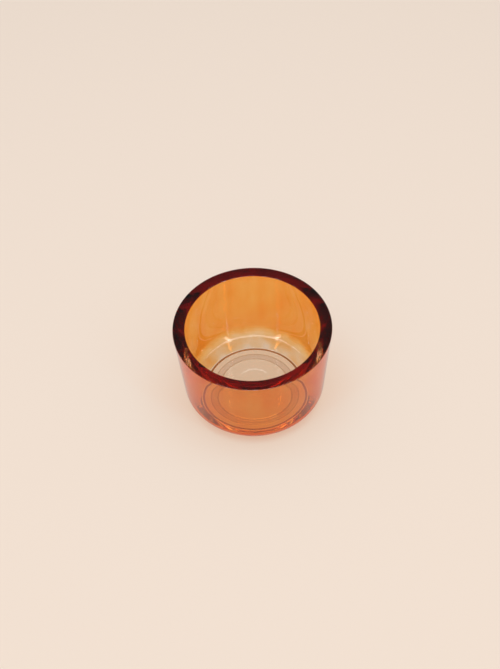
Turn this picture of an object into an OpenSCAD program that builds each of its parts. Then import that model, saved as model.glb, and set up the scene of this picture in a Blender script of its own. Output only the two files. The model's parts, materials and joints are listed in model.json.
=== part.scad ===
// Candle jar: a pressed clear glass cup with a thick flat rim, a tapering wall and a heavy base,
// and a thin amber coat sprayed on its outside.
// Millimetres, +Z up. The origin is the centre of the base, on the table.

/* [Jar] */
// Height from the table to the top of the rim
jar_h = 51; // [44:0.5:80]
// Thickness of the wall at the rim
wall_t = 6; // [4:0.1:9]
// Lean of the outside wall, in degrees, so that the jar narrows towards its foot
outside_draft = 5.15; // [3:0.05:6.5]
// Radius of the rim's outside edge
rim_outer_r = 0.3; // [0.3:0.1:2]
// Radius of the rim's inside edge
rim_inner_r = 0.4; // [0.3:0.1:1.5]

/* [Bowl] */
// Diameter of the mouth
mouth_d = 68; // [64:0.5:90]
// Height of the straight land below the mouth's rounded edge, where a lid's plug sits
mouth_land_h = 8; // [4:0.5:14]
// Lean of the bowl's wall below the land, in degrees
bowl_draft = 2.2; // [0.5:0.1:4]
// Thickness of the glass under the bowl
base_t = 6; // [5:0.2:12]
// Radius where the bowl's wall runs into its floor
bowl_fillet_r = 2.5; // [1:0.5:12]
// Diameter of the shallow round mark that the press leaves sunk in the bowl's floor
press_mark_d = 17.6; // [10:0.2:24]
// Depth of that mark
press_mark_depth = 0.25; // [0.1:0.05:0.6]

/* [Foot] */
// Outside diameter of the flat ring that the jar stands on
bearing_d = 49.4; // [46:0.2:54]
// Width of that ring
bearing_w = 3.5; // [2:0.1:5]
// Angle of the bevel that runs from the ring up to the heel, in degrees above the table
bevel_angle = 28; // [20:1:34]
// Radius of the heel, between the bevel and the wall
heel_r = 8; // [2:0.2:9]
// Width of the shallow ledge inside the ring
ledge_w = 3.2; // [2:0.1:5]
// Height of that ledge above the table
ledge_h = 0.35; // [0.2:0.05:0.6]
// Height above the table of the recess inside the ledge
recess_h = 0.9; // [0.7:0.05:1.5]
// Radius of the top edges of the ledge and the recess
recess_edge_r = 0.25; // [0.1:0.05:0.3]

/* [Coat] */
// Thickness of the amber coat
coat_t = 0.12; // [0.1:0.01:0.3]
// Height above the table at which the coat starts
coat_low = 0.4; // [0.4:0.1:2]
// Drop from the top of the rim to the coat's upper edge
coat_drop = 0.3; // [0.3:0.05:1]

/* [Hidden] */
$fn = 180;

// Room beyond an open end, so that a cut breaks cleanly through.
PAST = 1;

rim_d = mouth_d + 2 * wall_t;
ledge_d = bearing_d - 2 * bearing_w;
recess_d = ledge_d - 2 * ledge_w;

// Where the outside wall's line would meet the table.
foot_r = rim_d / 2 - jar_h * tan(outside_draft);
// Where that line and the bevel's line would cross, before the heel rounds the corner.
heel_z = (foot_r - bearing_d / 2) / (1 / tan(bevel_angle) - tan(outside_draft));
heel_corner = [foot_r + heel_z * tan(outside_draft), heel_z];

// The straight land ends here, and the bowl's wall leans in below it.
land_z = jar_h - rim_inner_r - mouth_land_h;
bowl_floor_r = mouth_d / 2 - (land_z - base_t) * tan(bowl_draft);

// Half sections, as corners of [radius, height] in order round the shape, each with its corner radius.
OUTSIDE = [[0, 0], [bearing_d / 2, 0], heel_corner, [rim_d / 2, jar_h], [0, jar_h]];
OUTSIDE_RADII = [0, 0, heel_r, rim_outer_r, 0];
BOWL = [
    [0, base_t],
    [bowl_floor_r, base_t],
    [mouth_d / 2, land_z],
    [mouth_d / 2, jar_h + PAST],
    [0, jar_h + PAST]
];
BOWL_RADII = [0, bowl_fillet_r, 0, 0, 0];

// Corner geometry: the directions from a corner to its two neighbours, and half the angle between them.
function unit(v) = v / norm(v);
function before(points, i) = points[(i + len(points) - 1) % len(points)];
function after(points, i) = points[(i + 1) % len(points)];
function to_before(points, i) = unit(before(points, i) - points[i]);
function to_after(points, i) = unit(after(points, i) - points[i]);
function inward(points, i) = unit(to_before(points, i) + to_after(points, i));
function half_angle(points, i) = acos(to_before(points, i) * to_after(points, i)) / 2;

// The same outline with every side moved out by gap, so that its rounded corners stay concentric.
function moved_out(points, gap) = [
    for (i = [0 : len(points) - 1])
        points[i] - inward(points, i) * gap / sin(half_angle(points, i))
];

// How far corner i's rounding reaches along each side, and the centre of its arc.
function reach(points, radii, i) = radii[i] / tan(half_angle(points, i));
function arc_centre(points, radii, i) = points[i] + inward(points, i) * radii[i] / sin(half_angle(points, i));

// A convex outline with each corner rounded by a true arc, tangent to both of its sides.
module rounded(points, radii) {
    polygon([
        for (i = [0 : len(points) - 1])
            for (side = radii[i] > 0 ? [to_before(points, i), to_after(points, i)] : [[0, 0]])
                points[i] + side * reach(points, radii, i)
    ]);
    for (i = [0 : len(points) - 1])
        if (radii[i] > 0) translate(arc_centre(points, radii, i)) circle(radii[i]);
}

// A round step sunk into the underside, d across and h deep, with its top edge rounded.
module sunk_step(d, h) {
    rounded([[0, -PAST], [d / 2, -PAST], [d / 2, h], [0, h]], [0, 0, recess_edge_r, 0]);
}

// What rounding the mouth's edge takes away: a square over that corner of the rim, less the arc that stays.
module mouth_edge_waste() {
    arc_z = jar_h - rim_inner_r;
    difference() {
        translate([mouth_d / 2 - PAST, arc_z]) square(PAST + rim_inner_r);
        translate([mouth_d / 2 + rim_inner_r, arc_z]) circle(rim_inner_r);
    }
}

// The glass: one pressed piece, thickest in the base, bare of coat on the rim's flat and underneath.
module glass_jar() {
    color([0.93, 0.95, 0.94, 0.45])
        rotate_extrude()
            difference() {
                rounded(OUTSIDE, OUTSIDE_RADII);
                rounded(BOWL, BOWL_RADII);
                translate([0, base_t - press_mark_depth]) square([press_mark_d / 2, PAST]);
                mouth_edge_waste();
                sunk_step(ledge_d, ledge_h);
                sunk_step(recess_d, recess_h);
            }
}

// The coat: a shell of even thickness against the glass, from the bevel up round the rim's outside edge.
module amber_coat() {
    coat_h = jar_h - coat_drop - coat_low;
    coat_radii = [for (r = OUTSIDE_RADII) r > 0 ? r + coat_t : 0];
    color([0.85, 0.42, 0.12, 0.6])
        rotate_extrude()
            difference() {
                intersection() {
                    rounded(moved_out(OUTSIDE, coat_t), coat_radii);
                    translate([0, coat_low]) square([rim_d, coat_h]);
                }
                rounded(OUTSIDE, OUTSIDE_RADII);
            }
}

glass_jar();
amber_coat();
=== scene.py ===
"""Looks of an empty candle jar: pressed clear glass under a sprayed amber lustre, on a pale table.

Lengths are metres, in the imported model's frame: +Z up, the origin at the centre of the jar's base. Sizes
that a maker would quote are named in millimetres and turned to metres where a shape is built.
"""

import json
import logging
import math
from dataclasses import dataclass, field
from enum import Enum

import bpy
from mathutils import Matrix, Quaternion, Vector

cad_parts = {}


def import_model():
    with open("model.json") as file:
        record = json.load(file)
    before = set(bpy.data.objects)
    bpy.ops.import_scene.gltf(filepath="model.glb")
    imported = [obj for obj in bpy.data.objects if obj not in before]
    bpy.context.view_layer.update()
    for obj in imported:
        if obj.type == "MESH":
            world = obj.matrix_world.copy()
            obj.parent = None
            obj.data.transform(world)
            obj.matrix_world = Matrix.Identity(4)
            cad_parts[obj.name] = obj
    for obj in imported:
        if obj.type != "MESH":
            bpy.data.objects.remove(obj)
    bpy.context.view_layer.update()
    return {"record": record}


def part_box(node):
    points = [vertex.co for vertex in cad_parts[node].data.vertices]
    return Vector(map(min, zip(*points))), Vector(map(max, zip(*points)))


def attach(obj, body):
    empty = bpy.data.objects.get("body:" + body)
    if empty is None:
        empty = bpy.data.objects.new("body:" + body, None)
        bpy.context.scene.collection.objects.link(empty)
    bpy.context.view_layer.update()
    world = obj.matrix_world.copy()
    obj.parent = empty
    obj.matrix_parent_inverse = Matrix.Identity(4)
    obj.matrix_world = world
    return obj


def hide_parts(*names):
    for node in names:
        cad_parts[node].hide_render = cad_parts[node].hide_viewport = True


MM = 0.001
CLEAR = "#FFFFFF"
LOG = logging.getLogger("candle_jar")

Tree = bpy.types.NodeTree
Socket = bpy.types.NodeSocket


def linear(colour: str) -> tuple[float, float, float, float]:
    """Turns an sRGB hex colour to the linear one that shaders take.

    Args:
        colour: six hex digits after a #.

    Returns:
        Red, green, blue and an alpha of 1.
    """
    parts = [int(colour[i : i + 2], 16) / 255 for i in (1, 3, 5)]
    red, green, blue = (c / 12.92 if c <= 0.04045 else ((c + 0.055) / 1.055) ** 2.4 for c in parts)
    return red, green, blue, 1.0


def add(tree: Tree, kind: str, inputs: dict | None = None, **settings: object) -> bpy.types.Node:
    """Adds one node with its settings, its constant inputs and its links.

    Args:
        tree: the shader or geometry tree.
        kind: the node's type name.
        inputs: by socket name or number, a constant, an output socket, or a node for its first output.
        settings: the node's own properties.

    Returns:
        The new node.
    """
    node = tree.nodes.new(kind)
    for name, value in settings.items():
        setattr(node, name, value)
    for key, value in (inputs or {}).items():
        source = value.outputs[0] if isinstance(value, bpy.types.Node) else value
        if isinstance(source, Socket):
            tree.links.new(source, node.inputs[key])
        else:
            node.inputs[key].default_value = source
    return node


def empty_material(name: str) -> tuple[bpy.types.Material, Tree]:
    """Makes a node material with no nodes in it.

    Args:
        name: the material's name.

    Returns:
        The material and its tree.
    """
    material = bpy.data.materials.new(name)
    material.use_nodes = True
    material.node_tree.nodes.clear()
    return material, material.node_tree


def finish_surface(tree: Tree, seen: bpy.types.Node, shade: bpy.types.Node) -> None:
    """Ends a material with one shader for what the eye sees and one for the shadow that it casts.

    Args:
        tree: the material's tree.
        seen: the shader for all rays but those from a lamp.
        shade: the shader that lets a lamp's rays straight through.
    """
    to_lamp = add(tree, "ShaderNodeLightPath").outputs["Is Shadow Ray"]
    mixed = add(tree, "ShaderNodeMixShader", {0: to_lamp, 1: seen, 2: shade})
    add(tree, "ShaderNodeOutputMaterial", {"Surface": mixed})


# ---------------------------------------------------------------------------------------------- finishes


@dataclass(frozen=True)
class Mark:
    """A ring on the underside, with its middle radius, half its width and its colour."""

    radius_mm: float
    half_width_mm: float
    colour: str


@dataclass(frozen=True)
class PressedGlass:
    """Clear soda-lime glass, pressed in a mould and fire-polished.

    To the eye it is colourless in the wall and bends what lies behind it. The polish leaves it glossy
    and very slightly wavy, as hot glass is when it leaves the mould.

    Attributes:
        ior: the glass's index.
        wave_mm: the length of the waves.
        wave_depth_mm: how deep they are.
        lamp_share: the colour of the light that gets through to the table.
        underside_mm: the height under which the marks lie.
        marks: the rings on the underside; those at the foot's edge and at the two steps are painted shade.
    """

    ior: float = 1.52
    wave_mm: float = 5.0
    wave_depth_mm: float = 0.004
    lamp_share: str = "#FFF5E9"
    underside_mm: float = 1.2
    marks: tuple[Mark, ...] = (
        Mark(24.8, 0.5, "#B4875F"),  # brown ring at the foot's edge: painted contact shade where the foot meets the table
        Mark(21.2, 0.3, "#DDCFC5"),  # painted shade: the thin dark line that the step at the ledge's outer edge shows
        Mark(19.6, 1.4, "#EFEAEA"),  # the ledge, left greyer by the mould than the rest
        Mark(18.0, 0.3, "#D8CABF"),  # painted shade: the thin dark line that the step up to the recess shows
    )

    def material(self) -> bpy.types.Material:
        """Builds the material of the glass where it meets air.

        Returns:
            The material.
        """
        material, tree = empty_material("pressed_soda_lime_glass")
        place = add(tree, "ShaderNodeTexCoord").outputs["Object"]
        wave = add(
            tree,
            "ShaderNodeTexNoise",
            {"Vector": place, "Scale": 1 / (self.wave_mm * MM), "Detail": 1.0},
        )
        bump = add(
            tree,
            "ShaderNodeBump",
            {"Height": wave, "Distance": self.wave_depth_mm * MM, "Strength": 1.0},
        )
        glass = add(
            tree,
            "ShaderNodeBsdfGlass",
            {"Color": self._marked(tree, place), "Roughness": 0.0, "IOR": self.ior, "Normal": bump},
        )
        # Lamps reach the table through the glass, which no path of bent light would find in time.
        shade = add(tree, "ShaderNodeBsdfTransparent", {"Color": linear(self.lamp_share)})
        finish_surface(tree, glass, shade)
        return material

    def _marked(self, tree: Tree, place: Socket) -> Socket:
        """Adds the glass's colour, which is white but for the faint rings on the underside, some of them
        painted shade.

        Args:
            tree: the material's tree.
            place: the place on the glass.

        Returns:
            The socket of the colour.
        """
        axes = add(tree, "ShaderNodeSeparateXYZ", {0: place}).outputs
        flat = add(tree, "ShaderNodeCombineXYZ", {"X": axes["X"], "Y": axes["Y"]})
        radius = add(tree, "ShaderNodeVectorMath", {0: flat}, operation="LENGTH").outputs["Value"]
        low = add(tree, "ShaderNodeMath", {0: axes["Z"], 1: self.underside_mm * MM}, operation="LESS_THAN")
        colour: Socket | tuple[float, ...] = linear(CLEAR)
        # The rings at the foot's edge and at the two steps are painted shade.
        for mark in self.marks:
            ring = {0: radius, 1: mark.radius_mm * MM, 2: mark.half_width_mm * MM}
            near = add(tree, "ShaderNodeMath", ring, operation="COMPARE")
            on_mark = add(tree, "ShaderNodeMath", {0: near, 1: low}, operation="MULTIPLY")
            painted = {"Factor": on_mark, "A": colour, "B": linear(mark.colour)}
            colour = add(tree, "ShaderNodeMix", painted, data_type="RGBA").outputs["Result"]
        return colour


@dataclass(frozen=True)
class Bond:
    """The face where the coat sits on the glass.

    Both have nearly the same index, so light crosses it straight and the eye sees nothing there.
    """

    def material(self) -> bpy.types.Material:
        """Builds a face that is not seen.

        Returns:
            The material.
        """
        material, tree = empty_material("coat_to_glass_bond")
        clear = add(tree, "ShaderNodeBsdfTransparent", {"Color": linear(CLEAR)})
        add(tree, "ShaderNodeOutputMaterial", {"Surface": clear})
        return material


@dataclass(frozen=True)
class AmberLustre:
    """A transparent amber lustre, sprayed on the hot glass.

    It stains what is seen through it orange, deeper where the light crosses it slantwise, mirrors more
    than bare glass towards the edges, with a cool cast, and lies in soft clouds and faint upright runs.
    The spray hits the wall full on and thins out, in soft blots, where the heel turns under.

    Attributes:
        ior: the index by which it bends light.
        mirror_ior: the index by which it mirrors light outside.
        sheen: how much more than that it mirrors at a glance.
        sheen_power: how close to the edge the sheen keeps.
        stain: the colour that white light keeps through one crossing.
        turned_back: the colour that it keeps for each crossing where the face turns it back inside.
        least_slant: the smallest cosine that the stain is worked out for.
        shadow_lift: how far the coat's shadow is paled from its stain to white.
        mirror_tint: the colour of what it mirrors full on.
        mirror_cast: the colour of what it mirrors at a glance.
        cloud_mm: the size of the clouds.
        cloud_seed: which clouds are drawn.
        cloud_roughness: how ragged they are.
        run_mm: the width of the runs.
        run_squash: their width over their length.
        noise_detail: how many finer layers the noises have.
        noise_low: what the clouds and the runs add up to where the coat is thinnest.
        noise_high: what they add up to where it is thickest.
        unevenness: how much thinner or thicker it is there.
        blot_mm: the size of the blots at the fade.
        bare: what is left of the coat below the fade.
        fade_low_mm: the height at which the fade starts.
        fade_high_mm: the height at which it ends.
        fade_sway_mm: how far the blots shift it.
        fade_tilt: how much lower it lies for each millimetre to the front.
        fade_back_mm: how far behind the axis its heights are given.
        trap_low_mm: the height up to which trapped light loses least.
        trap_high_mm: the height from which it loses most.
        trap_low: how many crossings it loses at each turn up to the first of these.
        trap_high: how many it loses from the second.
    """

    ior: float = 1.52
    mirror_ior: float = 1.47
    sheen: float = 0.3
    sheen_power: float = 4.0
    stain: str = "#FAB152"
    turned_back: str = "#C86930"
    least_slant: float = 0.15
    shadow_lift: float = 0.75
    mirror_tint: str = "#FFF3F2"
    mirror_cast: str = "#DCE0E8"
    cloud_mm: float = 20.0
    cloud_seed: float = 0.0
    cloud_roughness: float = 0.55
    run_mm: float = 7.0
    run_squash: float = 0.18
    noise_detail: float = 2.0
    noise_low: float = 0.6
    noise_high: float = 1.4
    unevenness: float = 0.2
    blot_mm: float = 9.0
    bare: float = 0.02
    fade_low_mm: float = 0.6
    fade_high_mm: float = 11.0
    fade_sway_mm: float = 5.0
    fade_tilt: float = 0.12
    fade_back_mm: float = 30.0
    trap_low_mm: float = 2.0
    trap_high_mm: float = 20.0
    trap_low: float = 0.15
    trap_high: float = 0.64

    def material(self) -> bpy.types.Material:
        """Builds the coat's outer face, which bends, stains and mirrors light from both sides.

        Returns:
            The material.
        """
        material, tree = empty_material("sprayed_amber_lustre")
        place = add(tree, "ShaderNodeTexCoord").outputs["Object"]
        inside = add(tree, "ShaderNodeNewGeometry").outputs["Backfacing"]
        facing = add(tree, "ShaderNodeLayerWeight", {"Blend": 0.5}).outputs["Facing"]
        layers = {0: self._evenness(tree, place), 1: self._fade(tree, place)}
        density = add(tree, "ShaderNodeMath", layers, operation="MULTIPLY")
        slant = self._slant(tree, inside, facing)
        crossing = add(tree, "ShaderNodeMath", {0: density, 1: slant}, operation="DIVIDE")
        stained = add(tree, "ShaderNodeGamma", {"Color": linear(self.stain), "Gamma": crossing})
        bends = add(
            tree,
            "ShaderNodeBsdfRefraction",
            {"Color": stained, "Roughness": 0.0, "IOR": self.ior},
        )
        mirrors = add(
            tree,
            "ShaderNodeBsdfAnisotropic",
            {"Color": self._mirrored(tree, place, inside, facing, crossing), "Roughness": 0.0},
        )
        share = self._mirrored_share(tree, inside, facing)
        seen = add(tree, "ShaderNodeMixShader", {0: share, 1: bends, 2: mirrors})
        # Light that the jar bends falls on the table too, so its shadow is paler than the stain.
        lifted = {"Factor": self.shadow_lift, "A": stained, "B": linear(CLEAR)}
        paler = add(tree, "ShaderNodeMix", lifted, data_type="RGBA").outputs["Result"]
        shade = add(tree, "ShaderNodeBsdfTransparent", {"Color": paler})
        finish_surface(tree, seen, shade)
        return material

    def _evenness(self, tree: Tree, place: Socket) -> bpy.types.Node:
        """Adds the clouds and the runs, as the coat's thickness over its usual one.

        Args:
            tree: the material's tree.
            place: the place on the coat.

        Returns:
            The node of the thickness.
        """
        clouds = add(
            tree,
            "ShaderNodeTexNoise",
            {
                "Vector": place,
                "W": self.cloud_seed,
                "Scale": 1 / (self.cloud_mm * MM),
                "Detail": self.noise_detail,
                "Roughness": self.cloud_roughness,
            },
            noise_dimensions="4D",
        )
        upright = add(tree, "ShaderNodeMapping", {"Vector": place, "Scale": (1, 1, self.run_squash)})
        runs = add(
            tree,
            "ShaderNodeTexNoise",
            {"Vector": upright, "Scale": 1 / (self.run_mm * MM), "Detail": self.noise_detail},
        )
        both = add(tree, "ShaderNodeMath", {0: clouds, 1: runs}, operation="ADD")
        return add(
            tree,
            "ShaderNodeMapRange",
            {
                "Value": both,
                "From Min": self.noise_low,
                "From Max": self.noise_high,
                "To Min": 1 - self.unevenness,
                "To Max": 1 + self.unevenness,
            },
        )

    def _fade(self, tree: Tree, place: Socket) -> bpy.types.Node:
        """Adds the fade at the heel, as the share of the coat that is there.

        Args:
            tree: the material's tree.
            place: the place on the coat.

        Returns:
            The node of the share.
        """
        # The spray came from the front and above, so it reaches lower at the front than at the back.
        tilted = {0: place, 1: (0.0, -self.fade_tilt, 1.0)}
        height = add(tree, "ShaderNodeVectorMath", tilted, operation="DOT_PRODUCT").outputs["Value"]
        blots = add(
            tree,
            "ShaderNodeTexNoise",
            {"Vector": place, "Scale": 1 / (self.blot_mm * MM), "Detail": self.noise_detail},
        )
        sway = {0: blots, 1: 2 * self.fade_sway_mm * MM, 2: height}
        swayed = add(tree, "ShaderNodeMath", sway, operation="MULTIPLY_ADD")
        shift = self.fade_sway_mm - self.fade_tilt * self.fade_back_mm
        return add(
            tree,
            "ShaderNodeMapRange",
            {
                "Value": swayed,
                "From Min": (self.fade_low_mm + shift) * MM,
                "From Max": (self.fade_high_mm + shift) * MM,
                "To Min": self.bare,
                "To Max": 1.0,
            },
        )

    def _slant(self, tree: Tree, inside: Socket, facing: Socket) -> bpy.types.Node:
        """Adds the cosine of a ray to the face's normal, within the coat.

        Args:
            tree: the material's tree.
            inside: 1 where a ray meets the face from within the glass.
            facing: 0 where a ray meets the face full on, 1 at a glance.

        Returns:
            The node of the cosine.
        """
        cosine = add(tree, "ShaderNodeMath", {0: 1.0, 1: facing}, operation="SUBTRACT")
        squared = add(tree, "ShaderNodeMath", {0: cosine, 1: cosine}, operation="MULTIPLY")
        # Snell's law gives the cosine inside the coat of a ray that comes from the air.
        snell = {"Value": squared, "To Min": 1 - 1 / self.ior**2, "To Max": 1.0}
        bent = add(tree, "ShaderNodeMath", {0: add(tree, "ShaderNodeMapRange", snell)}, operation="SQRT")
        slant = add(tree, "ShaderNodeMix", {"Factor": inside, "A": bent, "B": cosine}, data_type="FLOAT")
        return add(tree, "ShaderNodeMath", {0: slant, 1: self.least_slant}, operation="MAXIMUM")

    def _mirrored(
        self,
        tree: Tree,
        place: Socket,
        inside: Socket,
        facing: Socket,
        crossing: bpy.types.Node,
    ) -> Socket:
        """Adds the colour of mirrored light, cool outside and stained inside.

        Args:
            tree: the material's tree.
            place: the place on the coat.
            inside: 1 where a ray meets the face from within the glass.
            facing: 0 where a ray meets the face full on, 1 at a glance.
            crossing: how much of the coat a ray crosses.

        Returns:
            The socket of the colour.
        """
        # Light trapped in the wall loses more the higher it is, which darkens the rim.
        loss_up_the_wall = add(
            tree,
            "ShaderNodeMapRange",
            {
                "Value": add(tree, "ShaderNodeSeparateXYZ", {0: place}).outputs["Z"],
                "From Min": self.trap_low_mm * MM,
                "From Max": self.trap_high_mm * MM,
                "To Min": self.trap_low,
                "To Max": self.trap_high,
            },
        )
        lost = add(tree, "ShaderNodeMath", {0: crossing, 1: loss_up_the_wall}, operation="MULTIPLY")
        kept = add(tree, "ShaderNodeGamma", {"Color": linear(self.turned_back), "Gamma": lost})
        ends = {"Factor": facing, "A": linear(self.mirror_tint), "B": linear(self.mirror_cast)}
        cast = add(tree, "ShaderNodeMix", ends, data_type="RGBA").outputs["Result"]
        sides = {"Factor": inside, "A": cast, "B": kept}
        return add(tree, "ShaderNodeMix", sides, data_type="RGBA").outputs["Result"]

    def _mirrored_share(self, tree: Tree, inside: Socket, facing: Socket) -> bpy.types.Node:
        """Adds the share of light that the face mirrors, outside with the sheen and inside by its index.

        Args:
            tree: the material's tree.
            inside: 1 where a ray meets the face from within the glass.
            facing: 0 where a ray meets the face full on, 1 at a glance.

        Returns:
            The node of the share.
        """
        edge = add(tree, "ShaderNodeMath", {0: facing, 1: self.sheen_power}, operation="POWER")
        plain = add(tree, "ShaderNodeFresnel", {"IOR": self.mirror_ior})
        lustre = {0: edge, 1: self.sheen, 2: plain}
        outer = add(tree, "ShaderNodeMath", lustre, operation="MULTIPLY_ADD", use_clamp=True)
        inner = add(tree, "ShaderNodeFresnel", {"IOR": self.ior})
        return add(tree, "ShaderNodeMix", {"Factor": inside, "A": outer, "B": inner}, data_type="FLOAT")


@dataclass(frozen=True)
class MattePaper:
    """Uncoated paper board, laid as a table top: pale, warm and quite without gloss."""

    colour: str = "#F1E3D6"
    roughness: float = 0.6

    def material(self) -> bpy.types.Material:
        """Builds the table's material.

        Returns:
            The material.
        """
        material, tree = empty_material("matte_paper_board")
        finish = {"Color": linear(self.colour), "Roughness": self.roughness}
        board = add(tree, "ShaderNodeBsdfDiffuse", finish)
        add(tree, "ShaderNodeOutputMaterial", {"Surface": board})
        return material


# ------------------------------------------------------------------------------------------ half sections


class Face(Enum):
    """What a stretch of a half section meets."""

    AIR = 0
    BOND = 1


@dataclass(frozen=True)
class Corner:
    """A corner of a half section, in metres: its place, and the radius of the arc that rounds it."""

    radius: float
    height: float
    rounding: float = 0.0

    @property
    def place(self) -> Vector:
        """The corner before it is rounded."""
        return Vector((self.radius, self.height))


@dataclass
class Stretch:
    """A run of points along a half section, with what it meets and how wavy it is, from 0 to 1."""

    points: list[Vector]
    face: Face = Face.AIR
    ripple: float = 0.0


def rounded(corners: list[Corner], step: float = 4.0) -> list[Vector]:
    """Rounds a path's corners by arcs tangent to both sides.

    Args:
        corners: the path's corners in order; the first and the last are not rounded.
        step: the most that one point of an arc turns from the next, in degrees.

    Returns:
        The points of the rounded path.
    """
    path = []
    for i, corner in enumerate(corners):
        if corner.rounding == 0:
            path.append(corner.place)
            continue
        back = (corners[i - 1].place - corner.place).normalized()
        on = (corners[i + 1].place - corner.place).normalized()
        half = back.angle(on) / 2
        centre = corner.place + (back + on).normalized() * (corner.rounding / math.sin(half))
        spoke = corner.place + back * (corner.rounding / math.tan(half)) - centre
        turn = (math.pi - 2 * half) * (1 if back.cross(on) < 0 else -1)
        steps = max(2, math.ceil(math.degrees(abs(turn)) / step))
        path += [centre + Matrix.Rotation(turn * k / steps, 2) @ spoke for k in range(steps + 1)]
    return path


def moved_out(corners: list[Corner], gap: float) -> list[Corner]:
    """Moves a path's inner corners out by a gap, so that its arcs stay concentric.

    Args:
        corners: the corners of a path that turns left all the way, with no rounding at its ends.
        gap: how far each side moves to its right.

    Returns:
        The moved corners, with the ends moved square to their sides.
    """
    moved = []
    for i, corner in enumerate(corners):
        sides = [
            (b.place - a.place).normalized()
            for a, b in zip(corners[max(i - 1, 0) : i + 1], corners[max(i, 1) : i + 2])
        ] or [(corners[1].place - corners[0].place).normalized()]
        normals = [Vector((side.y, -side.x)) for side in sides]
        middle = sum(normals, Vector((0, 0))).normalized()
        place = corner.place + middle * (gap / middle.dot(normals[0]))
        moved.append(Corner(place.x, place.y, corner.rounding + gap if corner.rounding else 0.0))
    return moved


def between(path: list[Vector], low: float, high: float) -> list[Vector]:
    """Cuts a rising path at two heights.

    Args:
        path: points whose height never falls.
        low: the height at which the kept part starts.
        high: the height at which it ends.

    Returns:
        The points between the heights, with one point at each cut.
    """
    kept = []
    for a, b in zip(path, path[1:]):
        cuts = sorted((z - a.y) / (b.y - a.y) for z in (low, high) if a.y < z < b.y)
        if low <= a.y <= high:
            kept.append(a)
        kept += [a.lerp(b, share) for share in cuts]
    if low <= path[-1].y <= high:
        kept.append(path[-1])
    return kept


def filled(points: list[Vector], spacing: float = 1.2 * MM, edge: float = 0.12 * MM) -> list[Vector]:
    """Adds points along straight stretches, with one close to each end to hold the shading of arcs.

    Args:
        points: the path.
        spacing: the longest gap to leave.
        edge: how close to a stretch's ends its outer points lie.

    Returns:
        The path with the added points.
    """
    path = [points[0]]
    for a, b in zip(points, points[1:]):
        length = (b - a).length
        if length > 3 * edge:  # too short a stretch has no room for both
            inner = max(1, math.ceil((length - 2 * edge) / spacing))
            shares = [(edge + (length - 2 * edge) * k / inner) / length for k in range(inner + 1)]
            path += [a.lerp(b, share) for share in shares]
        path.append(b)
    return path


# ------------------------------------------------------------------------------------------------- lathe


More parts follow.
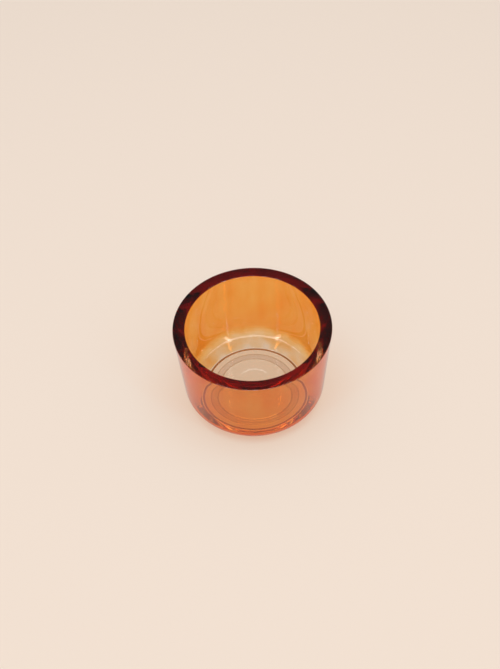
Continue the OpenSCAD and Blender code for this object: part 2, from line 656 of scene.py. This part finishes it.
@dataclass(frozen=True)
class Lathe:
    """Turns a half section round the jar's axis with Geometry Nodes.

    Attributes:
        segments: how many steps the turn takes.
        weld_mm: points closer than this are joined, at the seam and on the axis.
        ripple_mm: how deep the mould's waves are where a stretch is wavy.
        ripple_length_mm: how long they are round the jar.
        ripple_squash: that length over their height.
        seed: which waves are drawn.
    """

    segments: int = 320
    weld_mm: float = 0.002
    ripple_mm: float = 0.05
    ripple_length_mm: float = 14.0
    ripple_squash: float = 0.4
    seed: float = 3.0

    def tree(self) -> Tree:
        """Builds the tree: a grid laid over the half section and turned, then rippled and dressed.

        Returns:
            The tree, with its sizes as named inputs.
        """
        tree = bpy.data.node_groups.new("turned_on_the_axis", "GeometryNodeTree")
        for name, kind in (
            ("Half section", "NodeSocketGeometry"),
            ("Segments", "NodeSocketInt"),
            ("Weld", "NodeSocketFloat"),
            ("Ripple depth", "NodeSocketFloat"),
            ("Ripple length", "NodeSocketFloat"),
            ("Seed", "NodeSocketFloat"),
            ("Open face", "NodeSocketMaterial"),
            ("Bonded face", "NodeSocketMaterial"),
        ):
            tree.interface.new_socket(name, in_out="INPUT", socket_type=kind)
        tree.interface.new_socket("Turned", in_out="OUTPUT", socket_type="NodeSocketGeometry")
        given = add(tree, "NodeGroupInput").outputs
        section = given["Half section"]
        spun = self._spun(tree, section, given)
        row = add(tree, "GeometryNodeInputNamedAttribute", {"Name": "row"}, data_type="FLOAT")
        rippled = self._rippled(tree, spun, section, row, given)
        smooth = add(tree, "GeometryNodeSetShadeSmooth", {0: rippled, "Shade Smooth": True})
        bonded = add(tree, "GeometryNodeInputNamedAttribute", {"Name": "bonded"}, data_type="FLOAT")
        # The mean of a face's rows lies between its two, so its whole part is the lower one.
        face_row = add(tree, "GeometryNodeFieldOnDomain", {0: row}, domain="FACE")
        face_row = add(tree, "ShaderNodeMath", {0: face_row}, operation="FLOOR")
        on_bond = self._sampled(tree, section, bonded, face_row, "FLOAT")
        on_bond = add(tree, "FunctionNodeCompare", {0: on_bond, 1: 0.5}, operation="GREATER_THAN")
        real = add(tree, "GeometryNodeRealizeInstances", {0: smooth})
        dressed = add(tree, "GeometryNodeSetMaterial", {0: real, "Material": given["Open face"]})
        bonds = {0: dressed, "Selection": on_bond, "Material": given["Bonded face"]}
        dressed = add(tree, "GeometryNodeSetMaterial", bonds)
        add(tree, "NodeGroupOutput", {0: dressed})
        return tree

    def _spun(self, tree: Tree, section: Socket, given: bpy.types.bpy_prop_collection) -> bpy.types.Node:
        """Adds the grid, each of whose rows is one point of the half section, turned round the axis.

        Args:
            tree: the geometry tree.
            section: the half section.
            given: the group's inputs.

        Returns:
            The node of the welded mesh, with its "row" attribute.
        """
        count = add(tree, "GeometryNodeAttributeDomainSize", {0: section}, component="MESH")
        columns = add(tree, "ShaderNodeMath", {0: given["Segments"], 1: 1.0}, operation="ADD")
        grid = add(
            tree,
            "GeometryNodeMeshGrid",
            {"Vertices X": count, "Vertices Y": columns, "Size X": 1.0, "Size Y": 1.0},
        )
        index = add(tree, "GeometryNodeInputIndex")
        # A grid's points run along Y first, so the whole part of index / columns is the section's point.
        row = add(tree, "ShaderNodeMath", {0: index, 1: columns}, operation="DIVIDE")
        row = add(tree, "ShaderNodeMath", {0: row}, operation="FLOOR")
        column = add(tree, "ShaderNodeMath", {0: index, 1: columns}, operation="MODULO")
        turn = add(tree, "ShaderNodeMath", {0: column, 1: given["Segments"]}, operation="DIVIDE")
        turn = add(tree, "ShaderNodeMath", {0: turn, 1: -math.tau}, operation="MULTIPLY")
        kept = add(tree, "GeometryNodeStoreNamedAttribute", {0: grid, "Name": "row", "Value": row})
        at = self._sampled(tree, section, add(tree, "GeometryNodeInputPosition"), row, "FLOAT_VECTOR")
        spun = add(
            tree,
            "ShaderNodeVectorRotate",
            {"Vector": at, "Angle": turn, "Axis": (0, 0, 1)},
            rotation_type="AXIS_ANGLE",
        )
        placed = add(tree, "GeometryNodeSetPosition", {"Geometry": kept, "Position": spun})
        return add(tree, "GeometryNodeMergeByDistance", {0: placed, "Distance": given["Weld"]})

    @staticmethod
    def _sampled(
        tree: Tree,
        section: Socket,
        value: bpy.types.Node,
        row: bpy.types.Node,
        kind: str,
    ) -> bpy.types.Node:
        """Adds what reads a value of the half section.

        Args:
            tree: the geometry tree.
            section: the half section.
            value: the value to read.
            row: the number of the section's point to read it at.
            kind: the value's data type.

        Returns:
            The node of the value.
        """
        where = {"Geometry": section, "Value": value, "Index": row}
        return add(tree, "GeometryNodeSampleIndex", where, data_type=kind, domain="POINT")

    def _rippled(
        self,
        tree: Tree,
        mesh: bpy.types.Node,
        section: Socket,
        row: bpy.types.Node,
        given: bpy.types.bpy_prop_collection,
    ) -> bpy.types.Node:
        """Sinks wavy stretches by noise, so that the surface never stands proud of its true size.

        Args:
            tree: the geometry tree.
            mesh: the turned mesh.
            section: the half section, with its "ripple" attribute.
            row: the number of the section's point under each point.
            given: the group's inputs.

        Returns:
            The node of the rippled mesh.
        """
        wavy = add(tree, "GeometryNodeInputNamedAttribute", {"Name": "ripple"}, data_type="FLOAT")
        wavy = self._sampled(tree, section, wavy, row, "FLOAT")
        stretch = {0: add(tree, "GeometryNodeInputPosition"), 1: (1.0, 1.0, self.ripple_squash)}
        tall = add(tree, "ShaderNodeVectorMath", stretch, operation="MULTIPLY")
        scale = add(tree, "ShaderNodeMath", {0: 1.0, 1: given["Ripple length"]}, operation="DIVIDE")
        noise = add(
            tree,
            "ShaderNodeTexNoise",
            {"Vector": tall, "W": given["Seed"], "Scale": scale, "Detail": 1.0},
            noise_dimensions="4D",
        )
        depth = add(tree, "ShaderNodeMath", {0: noise, 1: wavy}, operation="MULTIPLY")
        for factor in (given["Ripple depth"], -1.0):
            depth = add(tree, "ShaderNodeMath", {0: depth, 1: factor}, operation="MULTIPLY")
        out = add(tree, "GeometryNodeInputNormal")
        sunk = add(tree, "ShaderNodeVectorMath", {0: out, "Scale": depth}, operation="SCALE")
        return add(tree, "GeometryNodeSetPosition", {"Geometry": mesh, "Offset": sunk})

    def turned(
        self,
        name: str,
        stretches: list[Stretch],
        open_face: bpy.types.Material,
        bonded_face: bpy.types.Material,
    ) -> bpy.types.Object:
        """Turns one half section and returns the piece as a plain mesh object.

        Args:
            name: the piece's name.
            stretches: the half section in order, each starting where the last one ends.
            open_face: the finish where the piece meets air.
            bonded_face: the finish where it meets the other piece.

        Returns:
            The piece, with no modifier left on it.
        """
        section = bpy.data.objects.new(name + "_section", self._section_mesh(name, stretches))
        bpy.context.scene.collection.objects.link(section)
        modifier = section.modifiers.new("lathe", "NODES")
        modifier.node_group = self.tree()
        values = {
            "Segments": self.segments,
            "Weld": self.weld_mm * MM,
            "Ripple depth": self.ripple_mm * MM,
            "Ripple length": self.ripple_length_mm * MM,
            "Seed": self.seed,
            "Open face": open_face,
            "Bonded face": bonded_face,
        }
        for socket in modifier.node_group.interface.items_tree:
            if socket.name in values:
                modifier[socket.identifier] = values[socket.name]
        depsgraph = bpy.context.evaluated_depsgraph_get()
        mesh = bpy.data.meshes.new_from_object(section.evaluated_get(depsgraph), depsgraph=depsgraph)
        bpy.data.objects.remove(section)
        mesh.attributes.remove(mesh.attributes["row"])
        mesh.name = name
        piece = bpy.data.objects.new(name, mesh)
        bpy.context.scene.collection.objects.link(piece)
        return piece

    @staticmethod
    def _section_mesh(name: str, stretches: list[Stretch]) -> bpy.types.Mesh:
        """Makes the half section's points in the XZ plane, with what each one's next side meets.

        Args:
            name: the piece's name.
            stretches: the half section in order.

        Returns:
            The mesh, with its "bonded" and "ripple" attributes.
        """
        points, bonded, ripple = [], [], []
        for stretch in stretches:
            path = filled(stretch.points)
            for point in path[:-1]:
                points.append((point.x, 0.0, point.y))
                bonded.append(float(stretch.face is Face.BOND))
                ripple.append(stretch.ripple)
        last = stretches[-1].points[-1]
        points.append((last.x, 0.0, last.y))
        bonded.append(bonded[-1])
        ripple.append(ripple[-1])
        mesh = bpy.data.meshes.new(name + "_section")
        mesh.from_pydata(points, [(i, i + 1) for i in range(len(points) - 1)], [])
        for title, values in (("bonded", bonded), ("ripple", ripple)):
            mesh.attributes.new(title, "FLOAT", "POINT").data.foreach_set("value", values)
        return mesh


# --------------------------------------------------------------------------------------------- the jar


@dataclass
class JarSizes:
    """The jar's sizes, in millimetres and degrees, from the frame where it holds them.

    Attributes:
        height: from the table to the rim's flat.
        mouth_radius: of the straight land below the rim.
        land_height: of that land, where a lid's plug would sit.
        coat_low: the height at which the coat starts.
        coat_high: the height at which it ends.
        wall: the rim's width.
        outside_draft: how far the outside leans in towards the foot.
        rim_outer_rounding: of the rim's outside edge.
        rim_inner_rounding: of its inside edge.
        bowl_draft: how far the inside leans in towards the floor.
        base: the height of the bowl's floor.
        bowl_fillet: the rounding between the wall and the floor.
        press_mark_radius: of the shallow round mark in the floor.
        press_mark_depth: how far it is sunk.
        press_mark_slope: the width of its sloping side.
        press_mark_rounding: of that side's edges.
        bearing_radius: of the flat ring that the jar stands on, outside.
        bearing_width: the ring's width.
        bearing_rounding: of the ring's outside edge.
        bevel_angle: the bevel's slope, from the ring up to the heel.
        heel_rounding: of the heel.
        ledge_width: the width of the ledge inside the ring.
        ledge_height: its height above the table.
        recess_height: the height of the recess in the middle.
        ledge_slope: the width of the slope up to the ledge.
        recess_slope: the width of the slope up to the recess.
        edge_softening: the rounding of those slopes' edges.
        coat: how far the coat's outside is off the glass.
        bond_gap: how far its inside is off the glass.
    """

    height: float
    mouth_radius: float
    land_height: float
    coat_low: float
    coat_high: float
    wall: float = 6.0
    outside_draft: float = 5.15
    rim_outer_rounding: float = 0.3
    rim_inner_rounding: float = 0.4
    bowl_draft: float = 2.2
    base: float = 6.0
    bowl_fillet: float = 2.5
    press_mark_radius: float = 8.8
    press_mark_depth: float = 0.25
    press_mark_slope: float = 0.8
    press_mark_rounding: float = 1.2
    bearing_radius: float = 24.7
    bearing_width: float = 3.5
    bearing_rounding: float = 4.0
    bevel_angle: float = 27.0
    heel_rounding: float = 8.0
    ledge_width: float = 3.2
    ledge_height: float = 0.35
    recess_height: float = 0.9
    ledge_slope: float = 1.3
    recess_slope: float = 2.2
    edge_softening: float = 0.5
    coat: float = 0.12
    bond_gap: float = 0.02

    @classmethod
    def from_frame(cls, record: dict) -> "JarSizes":
        """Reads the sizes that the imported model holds.

        Args:
            record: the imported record.

        Returns:
            The jar's sizes.
        """
        mouth = next(m for m in record["mounts"] if m["name"] == "mouth")["dims"]
        low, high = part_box("amber_coat")
        return cls(
            height=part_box("glass_jar")[1].z / MM,
            mouth_radius=mouth["r_mm"],
            land_height=mouth["length_mm"],
            coat_low=low.z / MM,
            coat_high=high.z / MM,
        )

    def corner(self, radius: float, height: float, rounding: float = 0.0) -> Corner:
        """Makes a corner from millimetres."""
        return Corner(radius * MM, height * MM, rounding * MM)

    def outside(self) -> list[Corner]:
        """Lays out the outside from the axis on the table, by bearing ring, bevel and heel, to the rim.

        Returns:
            The corners, the first and the last of which only give their sides a direction.
        """
        rim_radius = self.mouth_radius + self.wall
        lean = math.tan(math.radians(self.outside_draft))
        foot_radius = rim_radius - self.height * lean
        run = 1 / math.tan(math.radians(self.bevel_angle)) - lean
        heel_height = (foot_radius - self.bearing_radius) / run
        return [
            self.corner(0, 0),
            self.corner(self.bearing_radius, 0, self.bearing_rounding),
            self.corner(foot_radius + heel_height * lean, heel_height, self.heel_rounding),
            self.corner(rim_radius, self.height, self.rim_outer_rounding),
            self.corner(self.mouth_radius, self.height),
        ]

    def underside(self) -> list[Corner]:
        """Lays out the underside from the axis, by the recess and the ledge, to the bearing ring's edge.

        Returns:
            The corners.
        """
        ledge = self.bearing_radius - self.bearing_width
        recess = ledge - self.ledge_width
        up, out = self.recess_slope / 2, self.ledge_slope / 2
        return [
            self.corner(0, self.recess_height),
            self.corner(recess - up, self.recess_height, self.edge_softening),
            self.corner(recess + up, self.ledge_height, self.edge_softening),
            self.corner(ledge - out, self.ledge_height, self.edge_softening),
            self.corner(ledge + out, 0, self.edge_softening),
            self.corner(self.bearing_radius, 0),
        ]

    def bowl(self) -> list[Corner]:
        """Lays out the inside from the rim's flat, down the land and the wall, to the axis.

        Returns:
            The corners.
        """
        land = self.height - self.rim_inner_rounding - self.land_height
        floor_radius = self.mouth_radius - (land - self.base) * math.tan(math.radians(self.bowl_draft))
        mark = self.base - self.press_mark_depth
        slope = self.press_mark_slope / 2
        return [
            self.corner(self.mouth_radius + self.wall / 2, self.height),
            self.corner(self.mouth_radius, self.height, self.rim_inner_rounding),
            self.corner(self.mouth_radius, land),
            self.corner(floor_radius, self.base, self.bowl_fillet),
            self.corner(self.press_mark_radius + slope, self.base, self.press_mark_rounding),
            self.corner(self.press_mark_radius - slope, mark, self.press_mark_rounding),
            self.corner(0, mark),
        ]


@dataclass
class Jar:
    """The jar: the pressed glass and the coat on its outside.

    Attributes:
        sizes: the jar's sizes.
        glass: the finish of the bare glass.
        coat: the finish of the coat.
        bond: the face between them.
        lathe: what turns their half sections.
    """

    sizes: JarSizes
    glass: PressedGlass = field(default_factory=PressedGlass)
    coat: AmberLustre = field(default_factory=AmberLustre)
    bond: Bond = field(default_factory=Bond)
    lathe: Lathe = field(default_factory=Lathe)

    def build_glass(self) -> bpy.types.Object:
        """Turns the glass body, closed from the axis below to the axis in the bowl.

        Returns:
            The piece.
        """
        s = self.sizes
        outside = rounded(s.outside())[1:-1]
        low, high = s.coat_low * MM, s.coat_high * MM
        foot = rounded(s.underside())[:-1] + [outside[0]]
        bowl = rounded(s.bowl())[1:]
        rim = between(outside, high, outside[-1].y) + [bowl[0]]
        stretches = [
            Stretch(foot),
            Stretch(between(outside, outside[0].y, low)),
            Stretch(between(outside, low, high), Face.BOND),
            Stretch(rim),
            Stretch(bowl, ripple=1.0),
        ]
        return self.lathe.turned("pressed_glass_jar", stretches, self.glass.material(), self.bond.material())

    def build_coat(self) -> bpy.types.Object:
        """Turns the coat, a thin closed shell just clear of the glass that it is bonded to.

        Returns:
            The piece.
        """
        s = self.sizes
        low, high = s.coat_low * MM, s.coat_high * MM
        outer = between(rounded(moved_out(s.outside(), s.coat * MM))[1:-1], low, high)
        inner = between(rounded(moved_out(s.outside(), s.bond_gap * MM))[1:-1], low, high)[::-1]
        stretches = [
            Stretch(outer, ripple=1.0),
            Stretch([outer[-1], inner[0]]),
            Stretch(inner, Face.BOND),
            Stretch([inner[-1], outer[0]]),
        ]
        return self.lathe.turned("amber_lustre_coat", stretches, self.coat.material(), self.bond.material())

    def build(self) -> list[bpy.types.Object]:
        """Builds both pieces, sets them on the jar's body and lets them stand for their CAD nodes.

        Returns:
            The pieces.
        """
        pieces = []
        for make, node, slot in (
            (self.build_glass, "glass_jar", "glass"),
            (self.build_coat, "amber_coat", "amber_coat"),
        ):
            piece = make()
            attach(piece, "root")
            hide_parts(node)
            LOG.info("%s: %d faces", piece.name, len(piece.data.polygons))
            pieces.append(piece)
        return pieces


# ------------------------------------------------------------------------------------------- the studio


@dataclass(frozen=True)
class Lamp:
    """A soft box that hangs over the table.

    Attributes:
        name: what it is called.
        start: the middle of one short side, in metres.
        end: the middle of the other short side, in metres.
        width: the length of a short side, in metres.
        glow: how bright its face is, in watts per square metre.
    """

    name: str
    start: tuple[float, float, float]
    end: tuple[float, float, float]
    width: float
    glow: float

    def build(self) -> bpy.types.Object:
        """Hangs the soft box with its long side on its line, and turns it to the jar.

        Returns:
            The lamp.
        """
        start, end = Vector(self.start), Vector(self.end)
        along = (end - start).normalized()
        middle = (start + end) / 2
        back = (middle - along * middle.dot(along)).normalized()
        data = bpy.data.lights.new(self.name, "AREA")
        data.shape = "RECTANGLE"
        data.size, data.size_y = self.width, (end - start).length
        data.energy = self.glow * data.size * data.size_y
        lamp = bpy.data.objects.new(self.name, data)
        bpy.context.scene.collection.objects.link(lamp)
        lamp.location = middle
        lamp.rotation_euler = Matrix((along.cross(back), along, back)).transposed().to_euler()
        return lamp


@dataclass
class Studio:
    """The pale table, the soft light round it and the lamps.

    Attributes:
        table_width: the table's width, in metres.
        table_drop_mm: how far it lies under the jar's foot, so that their faces do not touch.
        room_colour: the colour of the room's light.
        room_strength: how bright it is.
        bounces: how often light may turn or cross glass.
        clear_bounces: how often it may pass faces that are not seen.
        board: the table's finish.
        lamps: the soft boxes.
    """

    table_width: float = 6.0
    table_drop_mm: float = 0.02
    room_colour: str = CLEAR
    room_strength: float = 0.18
    bounces: int = 24
    clear_bounces: int = 64
    board: MattePaper = field(default_factory=MattePaper)
    lamps: tuple[Lamp, ...] = (
        Lamp("ceiling_soft_box", (-0.8, -0.12, 1.6), (0.8, -0.12, 1.6), 1.25, 11.4),
        Lamp("left_strip", (-0.5, -0.5, 1.0), (-0.97, -0.97, 1.0), 0.1, 30.0),
        Lamp("right_strip", (0.5, -0.5, 1.0), (0.97, -0.97, 1.0), 0.1, 30.0),
    )

    def build_table(self) -> bpy.types.Object:
        """Lays the table top just under the jar's foot.

        Returns:
            The table top.
        """
        half, drop = self.table_width / 2, self.table_drop_mm * MM
        corners = [(-half, -half), (half, -half), (half, half), (-half, half)]
        mesh = bpy.data.meshes.new("table_top")
        mesh.from_pydata([(x, y, -drop) for x, y in corners], [], [(0, 1, 2, 3)])
        mesh.materials.append(self.board.material())
        table = bpy.data.objects.new("table_top", mesh)
        bpy.context.scene.collection.objects.link(table)
        return table

    def build_room(self) -> None:
        """Surrounds the table with an even pale light."""
        world = bpy.data.worlds.new("pale_room")
        bpy.context.scene.world = world
        world.use_nodes = True
        world.node_tree.nodes.clear()
        glow = {"Color": linear(self.room_colour), "Strength": self.room_strength}
        light = add(world.node_tree, "ShaderNodeBackground", glow)
        add(world.node_tree, "ShaderNodeOutputWorld", {"Surface": light})

    def set_light_paths(self) -> None:
        """Lets light cross the glass as often as a thick clear wall needs, with true colours."""
        scene = bpy.context.scene
        scene.view_settings.view_transform = "Standard"
        cycles = scene.cycles
        cycles.max_bounces = self.bounces
        cycles.transmission_bounces = self.bounces
        cycles.glossy_bounces = self.bounces
        cycles.transparent_max_bounces = self.clear_bounces
        cycles.caustics_reflective = False
        cycles.caustics_refractive = False

    def build(self) -> None:
        """Builds the table, the room and the lamps."""
        LOG.info("%s: %.1f m wide", self.build_table().name, self.table_width)
        self.build_room()
        for lamp in self.lamps:
            LOG.info("%s: %.1f W", lamp.name, lamp.build().data.energy)
        self.set_light_paths()


@dataclass(frozen=True)
class Camera:
    """A camera that looks down into the jar from the front.

    Attributes:
        elevation: the height of its line to the rim's centre, in degrees above the table.
        distance: how far it stands from the rim's centre, in metres.
        lens: focal length, in millimetres.
        sensor: the sensor's width, in millimetres.
        nearest: how near it still sees, in metres.
        roll: how far it leans, in degrees.
        aim_right: how far to the right of the rim's centre it points, in millimetres.
        aim_up: how far above it, across the view, in millimetres.
    """

    elevation: float = 50.17
    distance: float = 0.802
    lens: float = 86.1
    sensor: float = 36.0
    nearest: float = 0.01
    roll: float = -2.47
    aim_right: float = -1.293
    aim_up: float = -3.7

    def build(self, rim_height: float) -> bpy.types.Object:
        """Stands the camera up and makes it the scene's.

        Args:
            rim_height: the height of the rim's flat above the table, in metres.

        Returns:
            The camera.
        """
        data = bpy.data.cameras.new("camera")
        data.sensor_width = self.sensor
        data.lens = self.lens
        data.clip_start = self.nearest
        camera = bpy.data.objects.new("camera", data)
        bpy.context.scene.collection.objects.link(camera)
        angle = math.radians(self.elevation)
        back = Vector((0, -math.cos(angle), math.sin(angle)))
        right = Vector((1, 0, 0))
        up = back.cross(right)
        rim = Vector((0, 0, rim_height))
        camera.location = rim + back * self.distance
        aim = rim + (right * self.aim_right + up * self.aim_up) * MM
        look = (aim - camera.location).to_track_quat("-Z", "Y")
        camera.rotation_mode = "QUATERNION"
        camera.rotation_quaternion = look @ Quaternion((0, 0, 1), math.radians(self.roll))
        bpy.context.scene.camera = camera
        return camera


def main() -> None:
    """Loads the frame, builds the camera, the studio and the jar."""
    logging.basicConfig(level=logging.INFO, format="%(name)s: %(message)s")
    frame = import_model()
    sizes = JarSizes.from_frame(frame["record"])
    camera = Camera().build(sizes.height * MM)
    LOG.info("%s: %.0f mm lens", camera.name, camera.data.lens)
    Studio().build()
    Jar(sizes).build()


if __name__ == "__main__":
    main()
